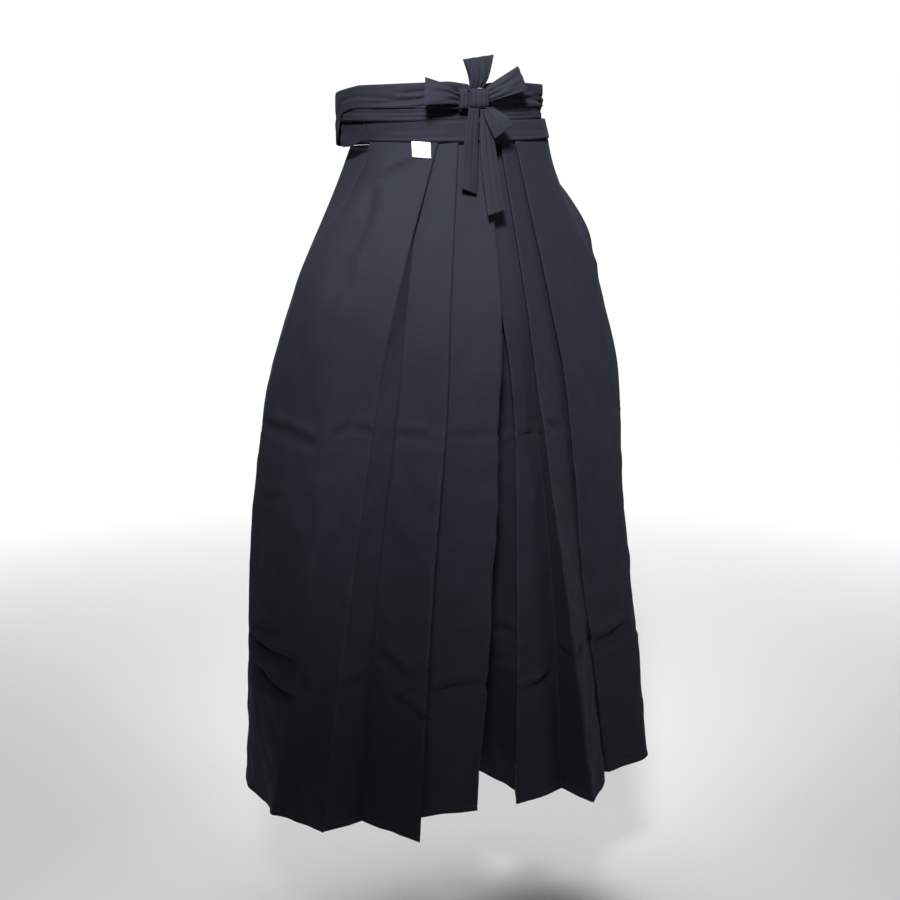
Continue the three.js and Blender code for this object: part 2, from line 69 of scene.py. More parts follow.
# ---- fold tables, the same lines as the solids -------------------------------------------------------------------------
# Rows run from the side seam to the middle. waist: (x, depth behind the waist outline) on a front, (x, y) on a back.
FRONT_RIGHT = [
    dict(name="side", waist=(-130, 0), hip=(-232, -10), thigh=(-268, 10), knee=(-292, 35), hem=(-276, 62)),
    dict(name="flank", waist=(-122, 0), hip=(-216, -58), thigh=(-246, -46), knee=(-280, -28), hem=(-272, 34)),
    dict(name="soft_fold", press="crisp", waist=(-112, 0), hip=(-189, -95), thigh=(-213, -88), knee=(-250, -80), hem=(-280, 5)),
    dict(name="soft_dip", waist=(-84, 0), hip=(-160, -103), thigh=(-188, -90), knee=(-224, -77), hem=(-259, -9)),
    dict(name="outer_pleat", lead=(-146, -108),
         ridge=dict(waist=(-59, 0), hip=(-132, -118), thigh=(-159, -112), knee=(-196, -97), hem=(-231, -75)),
         valley=dict(hip=(-111, -108), thigh=(-128, -111), knee=(-154, -93), hem=(-170, -67))),
    dict(name="middle_pleat", lead=(-87, -89),
         ridge=dict(waist=(-34, 0), hip=(-65, -140), thigh=(-75, -150), knee=(-101, -155), hem=(-120, -156)),
         valley=dict(hip=(-78, -126), thigh=(-88, -136), knee=(-118, -120), hem=(-134, -88))),
    dict(name="centre_pleat",
         ridge=dict(waist=(3, 0), hip=(6, -145), thigh=(2, -150), knee=(-1, -137), hem=(-7, -106)),
         valley=dict(hip=(-28, -124), thigh=(-36, -118), knee=(-46, -92), hem=(-48, -72))),
]
FRONT_LEFT = [
    dict(name="side", waist=(131, 0), hip=(222, -26), thigh=(272, -4), knee=(292, 8), hem=(322, 4)),
    dict(name="flank", waist=(116, 0), hip=(192, -54), thigh=(244, -42), knee=(286, -32), hem=(324, -30)),
    dict(name="soft_fold", waist=(90, 0), hip=(149, -72), thigh=(196, -66), knee=(264, -60), hem=(318, -59)),
    dict(name="outer_pleat", lead=(220, -93),
         ridge=dict(waist=(51, 0), hip=(97, -108), thigh=(129, -107), knee=(170, -92), hem=(229, -78)),
         valley=dict(hip=(112, -90), thigh=(146, -86), knee=(186, -76), hem=(219, -72))),
    dict(name="middle_pleat", lead=(100, -110),
         ridge=dict(waist=(27, 0), hip=(53, -125), thigh=(73, -131), knee=(114, -146), hem=(158, -155)),
         valley=dict(hip=(66, -112), thigh=(79, -106), knee=(112, -104), hem=(138, -97))),
    dict(name="centre_pleat",
         ridge=dict(waist=(-6, 7.5), hip=(15, -123), thigh=(38, -122), knee=(50, -116), hem=(54, -113)),
         valley=dict(hip=(44, -110), thigh=(66, -98), knee=(74, -84), hem=(74, -73))),
]
BACK_RIGHT = [
    dict(name="side", waist=(-118, -10), hip=(-232, -10), thigh=(-268, 10), knee=(-292, 35), hem=(-276, 62)),
    dict(name="side_round", waist=(-126, 44), hip=(-206, 62), thigh=(-238, 92), knee=(-264, 112), hem=(-284, 129)),
    dict(name="back_round", waist=(-100, 80), hip=(-150, 122), thigh=(-182, 150), knee=(-212, 172), hem=(-236, 186)),
    dict(name="back_pleat", lead=(-98, 192),
         ridge=dict(waist=(-46, 104), hip=(-58, 150), thigh=(-74, 176), knee=(-98, 202), hem=(-116, 214)),
         valley=dict(waist=(-66, 91), hip=(-78, 137), thigh=(-92, 160), knee=(-112, 180), hem=(-128, 188))),
]
BACK_LEFT = [
    dict(name="side", waist=(120, 12), hip=(222, -26), thigh=(272, -4), knee=(292, 8), hem=(322, 4)),
    dict(name="wing", bulge=22, waist=(122, 26), hip=(236, -4), thigh=(276, 30), knee=(294, 44), hem=(324, 54)),
    dict(name="side_round", waist=(114, 48), hip=(224, 52), thigh=(262, 74), knee=(286, 96), hem=(318, 118)),
    dict(name="back_round", waist=(88, 82), hip=(158, 122), thigh=(190, 150), knee=(220, 172), hem=(248, 186)),
    dict(name="back_pleat", lead=(98, 192),
         ridge=dict(waist=(28, 104), hip=(58, 150), thigh=(74, 176), knee=(98, 202), hem=(116, 214)),
         valley=dict(waist=(48, 92), hip=(78, 137), thigh=(92, 160), knee=(112, 180), hem=(128, 188))),
]
# The middle seams are shared by both legs down to the crotch. Rows: (z, x, y).
MIDDLE_FRONT = dict(
    shared=[(LEVEL["waist"], 0, -85), (LEVEL["hip"], 0, -104), (LEVEL["thigh"], 2, -98), (CROTCH, 4, -78)],
    hem={-1: (-25, -15), 1: (53, 10)},
)
MIDDLE_BACK = dict(
    shared=[(LEVEL["waist"], -9, 103), (LEVEL["hip"], 0, 138), (LEVEL["thigh"], 0, 158), (CROTCH, 0, 170)],
    hem={-1: (-34, 160), 1: (34, 160)},
)

# Creases, listed one by one: a soft trough with a ridge under it, from one point to another.
CREASES = [
    dict(start=(-271, 10, -370), end=(-226, -76, -388), depth=5.4, width=7),
    dict(start=(-281, 11, -472), end=(-262, -40, -464), depth=3.1, width=5),
    dict(start=(-290, 28, -664), end=(-272, -43, -652), depth=4.1, width=6),
    dict(start=(-291, 37, -686), end=(-252, -70, -698), depth=8.5, width=8),
    dict(start=(-289, 41, -726), end=(-258, -55, -752), depth=7.1, width=8),
    dict(start=(-262, -64, -696), end=(-243, -57, -740), depth=5.8, width=6),
    dict(start=(-208, -88, -372), end=(-185, -94, -366), depth=3.1, width=5),
    dict(start=(-186, -95, -364), end=(-160, -111, -372), depth=3.7, width=5),
    dict(start=(-126, -107, -377), end=(-94, -135, -379), depth=4.4, width=5),
    dict(start=(-60, -139, -380), end=(-4, -148, -384), depth=2.5, width=4),
    dict(start=(-206, -89, -726), end=(-158, -86, -716), depth=4.8, width=6),
    dict(start=(-156, -91, -688), end=(-84, -116, -720), depth=6.1, width=7),
    dict(start=(-144, -108, -740), end=(-106, -156, -764), depth=4.8, width=6),
    dict(start=(-86, -112, -758), end=(-6, -127, -735), depth=5.8, width=9),
    dict(start=(40, -58, -688), end=(54, -116, -716), depth=5.8, width=7),
    dict(start=(57, -114, -776), end=(117, -107, -757), depth=8.5, width=7),
    dict(start=(119, -105, -710), end=(136, -146, -728), depth=5.4, width=6),
    dict(start=(186, -86, -730), end=(268, -64, -720), depth=7.8, width=8),
    dict(start=(36, -100, -412), end=(53, -112, -405), depth=3.1, width=5),
    dict(start=(42, -121, -390), end=(84, -105, -398), depth=4.8, width=5),
    dict(start=(82, -131, -380), end=(128, -102, -392), depth=4.1, width=5),
    # the tension fold that runs from the label's corner out over the hip, and soft ones beside it
    dict(start=(-90, -86, -28), end=(-138, -68, -48), depth=5.5, width=5),
    dict(start=(-134, -70, -46), end=(-174, -82, -138), depth=5.5, width=6),
    dict(start=(-172, -84, -134), end=(-202, -94, -300), depth=3.0, width=9),
    dict(start=(-124, -42, -8), end=(-206, -66, -196), depth=3.4, width=7),
    dict(start=(-132, -62, -50), end=(-222, -70, -250), depth=2.6, width=8),
    dict(start=(-156, -92, -120), end=(-178, -98, -300), depth=1.8, width=8),
    # like ones on the hidden sides
    dict(start=(-232, 92, -380), end=(-196, 150, -372), depth=4.4, width=7),
    dict(start=(-264, 112, -690), end=(-222, 168, -708), depth=7.1, width=8),
    dict(start=(-150, 190, -742), end=(-84, 196, -728), depth=6.1, width=8),
    dict(start=(-60, 172, -384), end=(-8, 160, -390), depth=4.1, width=6),
    dict(start=(262, 78, -384), end=(206, 146, -376), depth=4.8, width=7),
    dict(start=(288, 80, -700), end=(238, 164, -716), depth=7.5, width=8),
    dict(start=(296, 20, -742), end=(294, 84, -728), depth=6.1, width=7),
    dict(start=(84, 190, -384), end=(20, 162, -392), depth=3.7, width=6),
    dict(start=(150, 190, -736), end=(84, 196, -750), depth=5.8, width=8),
    # soft folds of the back's wing beside the left slit
    dict(start=(150, -6, -60), end=(226, -22, -176), depth=4.4, width=7),
    dict(start=(140, 12, -96), end=(220, 0, -196), depth=3.7, width=7),
]
STORAGE_FOLDS = [dict(z=-386, depth=2.0, width=4), dict(z=-742, depth=2.6, width=5)]

LEVELS = list(LEVEL)
HEIGHTS = np.array([LEVEL[level] for level in LEVELS], float)


# ---- plan geometry -----------------------------------------------------------------------------------------------------
def front_y(x, depth):
    """y of the front waist outline, an ellipse, at x, moved back by depth."""
    return WAIST["y"] - WAIST["half_depth"] * math.sqrt(1 - ((x - WAIST["x"]) / WAIST["half_width"]) ** 2) + depth


def pleat_points(row, level, following, to_middle, back, previous):
    """Five plan points of one pleat: two round the outer fold, two round the hidden fold, and the next panel's start."""
    ridge = row["ridge"][level]
    at_waist = level == "waist" and back > 0
    if at_waist:
        reach = abs(ridge[0] - previous[0])
        share = min(UNDERLAP / reach, 1)
        valley = (ridge[0] - to_middle * UNDERLAP, ridge[1] + (previous[1] - ridge[1]) * share + PITCH)
    else:
        valley = row["valley"][level]
    opened = to_middle * (valley[0] - ridge[0]) > -4
    step = (to_middle * PITCH * 0.7, back * PITCH * 0.7) if opened else (0, back * PITCH)
    ridge_end = (ridge[0] + step[0], ridge[1] + step[1])
    half = PITCH / 2
    start = (valley[0] - to_middle * half, valley[1]) if opened else valley
    end = (valley[0] + to_middle * half * opened, valley[1] + step[1])
    points = [ridge, ridge_end, start, end]
    if following is not None:
        lead = row.get("lead") if level == "hem" else None
        if lead is None:
            x = to_middle * (max(to_middle * ridge[0], to_middle * valley[0]) + 5)
            t = min(max((x - end[0]) / (following[0] - end[0]), 0), 1)
            line = end[1] + (following[1] - end[1]) * t
            covered = end[1] if at_waist else ridge[1] + back * 2.5 * PITCH
            lead = (x, back * max(back * line, back * covered))
        points.append(lead)
    return points


def table_sections(rows, to_middle, back):
    """Plan points of a panel at each table height, and for each point how it is pressed: soft, ridge or inner."""
    sections = []
    for level in LEVELS:
        points, kinds = [], []
        for i, row in enumerate(rows):
            if "ridge" not in row:
                points.append(row[level])
                kinds.append(row.get("press", "soft"))
                continue
            later = rows[i + 1] if i + 1 < len(rows) else None
            following = None if later is None else later.get("ridge", later)[level]
            made = pleat_points(row, level, following, to_middle, back, points[-1])
            points += made
            kinds += ["ridge", "inner", "inner", "inner", "lead"][: len(made)]
        if level == "waist" and back > 0:
            points = [(x, front_y(x, depth)) for x, depth in points]
        sections.append(points)
    return np.array(sections, float), kinds


def curve_matrix(heights, z):
    """Weights, one row for each z, that draw a smooth cubic through values at the falling heights."""
    z = np.asarray(z, float)
    i = np.clip(np.searchsorted(-heights, -z, side="right") - 1, 0, len(heights) - 2)
    span = heights[i + 1] - heights[i]
    t = (z - heights[i]) / span
    before = np.maximum(i - 1, 0)
    after = np.minimum(i + 2, len(heights) - 1)
    slope_in = (t**3 - 2 * t**2 + t) * span / (heights[i + 1] - heights[before])
    slope_out = (t**3 - t**2) * span / (heights[after] - heights[i])
    rise = 3 * t**2 - 2 * t**3
    weights = np.zeros((len(z), len(heights)))
    rows = np.arange(len(z))
    np.add.at(weights, (rows, i), 1 - rise - slope_out)
    np.add.at(weights, (rows, i + 1), rise + slope_in)
    np.add.at(weights, (rows, before), -slope_in)
    np.add.at(weights, (rows, after), slope_out)
    return weights


def side_edge(points, z):
    """Plan line of a panel's side edge: down the slit, steeper at first, then along the shared side seam."""
    t = np.clip(z / LEVEL["hip"], 0, 1)
    t = (t - 0.08 * np.sin(2 * np.pi * t))[:, None]
    slit = points[0] * (1 - t) + points[1] * t
    seam = curve_matrix(HEIGHTS[1:], np.minimum(z, LEVEL["hip"])) @ points[1:]
    return np.where((z >= LEVEL["hip"])[:, None], slit, seam)


def middle_edge(middle, side, z):
    """Plan line of the middle seam down to the crotch, then straight down the inside of a leg."""
    shared = np.array(middle["shared"], float)
    upper = curve_matrix(shared[:, 0], np.maximum(z, CROTCH)) @ shared[:, 1:]
    t = np.clip((z - CROTCH) / (LEVEL["hem"] - CROTCH), 0, 1)[:, None]
    return upper * (1 - t) + np.array(middle["hem"][side], float) * t


def drop_heights(top, bottom):
    """Heights of the rows of a panel: even down to the hem's turning, then close together."""
    turning = bottom + 18
    coarse = np.linspace(top, turning, max(2, int(round((top - turning) / STEP_DOWN))))
    fine = np.linspace(turning, bottom, 13)
    return np.concatenate([coarse[:-1], fine])


# ---- grids of points: rows run down the cloth, columns across it ---------------------------------------------------------
def grid_normals(grid):
    """Unit normals: the cross product of the grid's two directions."""
    down = np.gradient(grid, axis=0)
    across = np.gradient(grid, axis=1)
    normal = np.cross(across, down)
    return normal / np.maximum(np.linalg.norm(normal, axis=2, keepdims=True), 1e-9)


def subdivide(lines, kinds):
    """Adds evenly spaced columns between the table's lines. softness is 0 where a pressed fold must stay sharp."""
    gaps = np.linalg.norm(np.diff(lines, axis=1), axis=2).max(axis=0)
    counts = np.clip(np.round(gaps / STEP_ACROSS), 1, 60).astype(int)
    base = np.concatenate([np.repeat(np.arange(len(counts)), counts), [len(counts) - 1]])
    share = np.concatenate([np.arange(n) / n for n in counts] + [[1.0]])
    grid = lines[:, base] * (1 - share)[:, None] + lines[:, base + 1] * share[:, None]
    sharp = {"soft": 0.5, "crisp": 0.05, "lead": 0.4, "ridge": 0.0, "inner": 0.0, "end": 0.0}
    softness = np.full(len(base), 0.5)
    whole = share == 0
    softness[whole] = [sharp[kinds[k]] for k in base[whole]]
    softness[[0, -1]] = 0
    ridge = np.array([share[j] == 0 and kinds[base[j]] == "ridge" for j in range(len(base))])
    return grid, softness, ridge


def soften(grid, softness, rounds):
    """Rounds the soft folds by averaging each column with its neighbours, a little at a time."""
    for _ in range(rounds):
        middle = (grid[:, :-2] + grid[:, 2:]) / 2
        grid[:, 1:-1] += softness[1:-1, None] * (middle - grid[:, 1:-1])
    return grid


def arc_lengths(grid):
    """Running length along the rows and down the columns, in the grid's units."""
    across = np.zeros(grid.shape[:2])
    across[:, 1:] = np.cumsum(np.linalg.norm(np.diff(grid, axis=1), axis=2), axis=1)
    down = np.zeros(grid.shape[:2])
    down[1:] = np.cumsum(np.linalg.norm(np.diff(grid, axis=0), axis=2), axis=0)
    return across, down


def crease_push(grid):
    """How far the listed creases push each point inwards: a bell-shaped trough across the crease's line with
    a smaller ridge beside it, fading at its ends and on layers that lie away from it."""
    push = np.zeros(grid.shape[:2])
    for crease in CREASES:
        start, end = np.array(crease["start"], float), np.array(crease["end"], float)
        line = end - start
        length = np.linalg.norm(line)
        t = (grid - start) @ line / length**2
        away = grid - (start + np.clip(t, 0, 1)[..., None] * line)
        up = np.array([0, 0, 1.0]) - line * line[2] / length**2
        up /= np.linalg.norm(up)
        over = away @ up
        aside = np.linalg.norm(away - over[..., None] * up, axis=2)
        wander = 0.25 * crease["width"] * np.sin(7 * t + start[2])
        off = (over + wander) / crease["width"]
        ends = np.clip(1.15 - np.abs(2 * t - 1) ** 3, 0, 1)
        near = np.exp(-((aside / 26) ** 2)) * ends
        push += crease["depth"] * near * (np.exp(-(off**2)) - 0.6 * np.exp(-((off - 1.7) ** 2)))
    return push


def storage_push(grid, across, seed):
    """Fold lines left by storage: faint level troughs whose depth and height wander along the cloth."""
    rng = np.random.default_rng(seed)
    push = np.zeros(grid.shape[:2])
    for fold in STORAGE_FOLDS:
        a, b, c = rng.uniform(0, 6.28, 3)
        height = fold["z"] + 5 * np.sin(across / 60 + a) + 3 * np.sin(across / 23 + b)
        strength = 0.55 + 0.45 * np.sin(across / 41 + c)
        off = (grid[..., 2] - height) / fold["width"]
        push += fold["depth"] * strength * (np.exp(-(off**2)) - 0.5 * np.exp(-((off + 2.0) ** 2)))
    return push


def drape_push(grid, across, seed):
    """Slow swell of hanging cloth: a few crossing waves that grow from the waist down."""
    rng = np.random.default_rng(seed)
    z = grid[..., 2]
    push = np.zeros(grid.shape[:2])
    for wide, tall, height in ((90, 260, 1.0), (55, 150, 0.7), (38, 95, 0.45), (140, 60, 0.4), (24, 44, 0.2)):
        a, b = rng.uniform(0, 6.28, 2)
        tilt = rng.uniform(-0.5, 0.5)
        push += height * np.sin(across * 6.28 / wide + a + tilt * z / 60) * np.sin(z * 6.28 / tall + b)
    return push * np.clip(-z / 350, 0.05, 1.4)


# ---- finishes ------------------------------------------------------------------------------------------------------------
class Nodes:
    """A material's or world's node tree. add() makes any node from its type, settings and sockets' values or links."""

    def __init__(self, owner):
        owner.use_nodes = True
        self.owner = owner
        self.tree = owner.node_tree
        self.tree.nodes.clear()

    def add(self, kind, settings=None, **sockets):
        node = self.tree.nodes.new("ShaderNode" + kind)
        for key, value in (settings or {}).items():
            setattr(node, key, value)
        for key, value in sockets.items():
            socket = node.inputs[int(key[1:]) if key[0] == "_" else key.replace("_", " ")]
            if isinstance(value, Value):
                value = value.socket
            if isinstance(value, bpy.types.NodeSocket):
                self.tree.links.new(value, socket)
            else:
                socket.default_value = value
        return node

    def value(self, socket):
        return Value(self, socket)


class Value:
    """A socket that can be used in Python arithmetic."""

    def __init__(self, nodes, socket):
        self.nodes, self.socket = nodes, socket

    def _math(self, operation, *others):
        sockets = {f"_{i}": v for i, v in enumerate(others)}
        return Value(self.nodes, self.nodes.add("Math", dict(operation=operation), **sockets).outputs[0])

    def __add__(self, other):
        return self._math("ADD", self, other)

    def __sub__(self, other):
        return self._math("SUBTRACT", self, other)

    def __rsub__(self, other):
        return self._math("SUBTRACT", other, self)

    def __mul__(self, other):
        return self._math("MULTIPLY", self, other)

    def __abs__(self):
        return self._math("ABSOLUTE", self)

    def __lt__(self, other):
        return self._math("LESS_THAN", self, other)

    def __gt__(self, other):
        return self._math("GREATER_THAN", self, other)

    def wave(self):
        return self._math("SINE", self)

    __radd__, __rmul__ = __add__, __mul__


def noise(nodes, vector, scale, detail=2.0):
    node = nodes.add("TexNoise", Vector=vector, Scale=scale, Detail=detail, Roughness=0.6)
    return nodes.value(node.outputs["Fac"])


def stretched(nodes, vector, size):
    return nodes.add("Mapping", dict(vector_type="POINT"), Vector=vector, Scale=size).outputs["Vector"]


def cloth_finish(name, dark, light, rough):
    """Matt plain weave: faint crosswise ribs, slubs and cloudy shade, with stitching where the cloth is marked."""
    nodes = Nodes(bpy.data.materials.new(name))
    across_down = nodes.add("UVMap", dict(uv_map="Cloth")).outputs["UV"]
    place = nodes.add("TexCoord").outputs["Object"]
    ribs = noise(nodes, stretched(nodes, across_down, (20, 320, 1)), 1.0, 2.0)
    threads = noise(nodes, stretched(nodes, across_down, (280, 22, 1)), 1.0, 1.0)
    weave = noise(nodes, across_down, 1400.0, 1.0)
    clouds = noise(nodes, place, 9.0, 3.0)
    creases = noise(nodes, place, 42.0, 4.0)
    shade = ribs * 0.34 + threads * 0.2 + weave * 0.2 + clouds * 0.36
    colour = nodes.add("Mix", dict(data_type="RGBA"), _0=shade - 0.05, _6=(*dark, 1), _7=(*light, 1)).outputs[2]
    mark = nodes.value(nodes.add("Attribute", dict(attribute_name="stitch")).outputs["Fac"])
    along = nodes.value(nodes.add("SeparateXYZ", Vector=across_down).outputs["X"])
    dashes = (along * 1700.0).wave() > -0.35
    colour = nodes.add("Mix", dict(data_type="RGBA"), _0=mark * dashes * 0.75, _6=colour,
                       _7=(*[c * 2.0 for c in light], 1)).outputs[2]
    relief = ribs * 0.5 + threads * 0.25 + weave * 0.35 + creases * 0.9 + mark * dashes * 0.8
    bump = nodes.add("Bump", Strength=0.34, Distance=0.0006, Height=relief).outputs["Normal"]
    shader = nodes.add("BsdfPrincipled", Base_Color=colour, Roughness=rough, Normal=bump,
                       Sheen_Weight=0.02, Sheen_Roughness=0.5)
    shader.inputs["Sheen Tint"].default_value = (0.55, 0.62, 0.8, 1)
    shader.inputs["Specular IOR Level"].default_value = 0.12
    nodes.add("OutputMaterial", Surface=shader.outputs[0])
    return nodes.owner


def label_finish():
    """Smooth white label cloth with a fine weave and a slightly greyer folded border."""
    nodes = Nodes(bpy.data.materials.new("label_white"))
    across_down = nodes.add("UVMap", dict(uv_map="Cloth")).outputs["UV"]
    weave = noise(nodes, across_down, 2600.0, 1.0)
    border = nodes.value(nodes.add("Attribute", dict(attribute_name="stitch")).outputs["Fac"])
    colour = nodes.add("Mix", dict(data_type="RGBA"), _0=border * 0.8 + weave * 0.15,
                       _6=(0.46, 0.53, 0.59, 1), _7=(0.33, 0.39, 0.45, 1)).outputs[2]
    bump = nodes.add("Bump", Strength=0.3, Distance=0.0003, Height=weave + border).outputs["Normal"]
    shader = nodes.add("BsdfPrincipled", Base_Color=colour, Roughness=0.6, Normal=bump)
    nodes.add("OutputMaterial", Surface=shader.outputs[0])
    return nodes.owner


CLOTH_NAVY = cloth_finish("navy_plain_weave", (0.0066, 0.0077, 0.0122), (0.0162, 0.0184, 0.0270), 0.85)
LABEL_WHITE = label_finish()


# ---- making a piece ------------------------------------------------------------------------------------------------------
def cloth_piece(name, grid, thickness, finish=CLOTH_NAVY, stitch=None,
                outward=None):
    """A mesh from a grid of points in millimetres, with a UV map in metres of cloth, a stitch attribute and a wall
    of the given thickness. It works out a flat size and area from the grid's own running size, but keeps neither."""
    rows, columns = grid.shape[:2]
    across, down = arc_lengths(grid)
    index = np.arange(rows * columns).reshape(rows, columns)
    quads = np.stack([index[:-1, :-1], index[:-1, 1:], index[1:, 1:], index[1:, :-1]], axis=-1).reshape(-1, 4)
    normals = grid_normals(grid)
    if outward is not None and (normals.reshape(-1, 3) * (grid.reshape(-1, 3) - np.array(outward))).sum() > 0:
        quads = quads[:, ::-1]
    mesh = bpy.data.meshes.new(name)
    mesh.from_pydata((grid.reshape(-1, 3) * MM).tolist(), [], quads.tolist())
    layer = mesh.uv_layers.new(name="Cloth")
    loops = np.empty(len(mesh.loops), int)
    mesh.loops.foreach_get("vertex_index", loops)
    uv = np.stack([across.ravel(), down.ravel()], axis=1)[loops] * MM
    layer.data.foreach_set("uv", uv.ravel().astype(np.float32))
    mark = mesh.attributes.new("stitch", "FLOAT", "POINT")
    mark.data.foreach_set("value", (np.zeros(rows * columns) if stitch is None else stitch.ravel()).astype(np.float32))
    mesh.polygons.foreach_set("use_smooth", np.ones(len(mesh.polygons), bool))
    mesh.materials.append(finish)
    mesh.update()
    piece = bpy.data.objects.new(name, mesh)
    bpy.context.scene.collection.objects.link(piece)
    wall = piece.modifiers.new("wall", "SOLIDIFY")
    wall.thickness = thickness * MM
    wall.offset = 0
    wall.use_even_offset = True
    wall.thickness_clamp = 1.0
    wall.use_rim = True
    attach(piece, "root")
    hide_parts(name)
    cells = np.linalg.norm(np.cross(grid[1:, 1:] - grid[:-1, :-1], grid[1:, :-1] - grid[:-1, 1:]), axis=2) / 2
    area = float(cells.sum()) * MM**2
    width, length = float(across[:, -1].max()) * MM, float(down[-1].max()) * MM
    area = min(area, width * length)
    return piece


def hem_and_edge_stitches(grid, ridge, across):
    """Marks the hem's stitch line and the stitched edge of the pleats, as numbers from 0 to 1."""
    z = grid[..., 2]
    hem = np.exp(-(((z - (LEVEL["hem"] + 8)) / 1.0) ** 2)) * 0.7
    edge = np.zeros(grid.shape[:2])
    for column in np.flatnonzero(ridge):
        reach = np.abs(across - across[:, column : column + 1])
        edge = np.maximum(edge, np.exp(-((reach / 2.2) ** 2)))
    return np.maximum(hem, edge * 0.35 * np.clip((-z - 250) / 300, 0, 1))


def leg_panel(name, rows, middle, side, back, top, seed):
    """A pleated panel: plan sections at each height, softened, then pushed along its normals by creases and drape."""
    sections, kinds = table_sections(rows, -side, back)
    z = drop_heights(top, LEVEL["hem"])
    lines = np.einsum("zl,lkc->zkc", curve_matrix(HEIGHTS, z), sections)
    lines[:, 0] = side_edge(sections[:, 0], z)
    swell = np.sin(np.pi * np.clip(z / LEVEL["hip"], 0, 1))
    for i, row in enumerate(rows):
        bulge = row.get("bulge", 0)
        if bulge:
            lines[:, i] += swell[:, None] * np.array([side * bulge, -bulge])
    last = middle_edge(middle, side, z)
    lines = np.concatenate([lines, last[:, None]], axis=1)
    lines[:, 0, 1] -= back * SEAM / 2
    lines[:, -1, 0] += side * SEAM / 2
    plan, softness, ridge = subdivide(lines, kinds + ["end"])
    plan = soften(plan, softness, 46)
    grid = np.concatenate([plan, np.broadcast_to(z[:, None, None], (*plan.shape[:2], 1))], axis=2)
    stitch = hem_and_edge_stitches(grid, ridge, arc_lengths(grid)[0])
    # The layers of a pleat move together: the push follows the panel's broad shape, with its pleats smoothed away.
    broad = grid.copy()
    broad[..., :2] = soften(plan.copy(), np.where(np.arange(plan.shape[1]) % (plan.shape[1] - 1), 0.5, 0), 160)
    across, _ = arc_lengths(broad)
    outward = grid_normals(broad) * (side * back)
    edges = np.minimum(1, np.minimum(across, across[:, -1:] - across) / 20)
    push = drape_push(grid, across, seed) * edges + storage_push(grid, across, seed + 1) + crease_push(grid)
    push = push * np.clip((top - z) / 25, 0, 1)[:, None]
    turning = 0.5 * np.exp(-(((z - (LEVEL["hem"] + 8)) / 1.4) ** 2))
    push = push + turning[:, None]
    grid = grid - outward * push[..., None]
    return cloth_piece(name, grid, CLOTH, stitch=stitch, outward=(0, 0, -400))


def inner_leg(name, side, seed):
    """The upright strip between the middle edges of a front and a back, bowed a little towards its own leg."""
    z = drop_heights(CROTCH - 0.0, LEVEL["hem"])
    inset, clear = side * (SEAM + CLOTH) / 2, CLOTH / 2 + SEAM
    start = middle_edge(MIDDLE_FRONT, side, z) + (inset, clear)
    end = middle_edge(MIDDLE_BACK, side, z) + (inset, -clear)
    t = np.linspace(0, 1, 40)[None, :, None]
    plan = start[:, None] * (1 - t) + end[:, None] * t
    bow = side * 0.03 * (CROTCH - z)[:, None] * np.sin(np.pi * t[..., 0])
    plan[..., 0] += bow
    grid = np.concatenate([plan, np.broadcast_to(z[:, None, None], (*plan.shape[:2], 1))], axis=2)
    across, _ = arc_lengths(grid)
    fade = np.sin(np.pi * t[..., 0]) * np.clip((CROTCH - z) / 80, 0, 1)[:, None]
    grid[..., 0] += side * np.abs(drape_push(grid, across, seed)) * fade * 0.8
    stitch = np.exp(-(((grid[..., 2] - (LEVEL["hem"] + 8)) / 1.0) ** 2)) * 0.7
    return cloth_piece(name, grid, CLOTH, stitch=stitch, outward=(side * -200, 60, -800))


# ---- bands and ties --------------------------------------------------------------------------------------------------------
def oval(shape, angle, out):
    """Plan points of an oval outline at angles from the front middle, moved out."""
    return np.stack([shape["x"] + (shape["half_width"] + out) * np.sin(angle),
                     shape["y"] - (shape["half_depth"] + out) * np.cos(angle)], axis=-1)


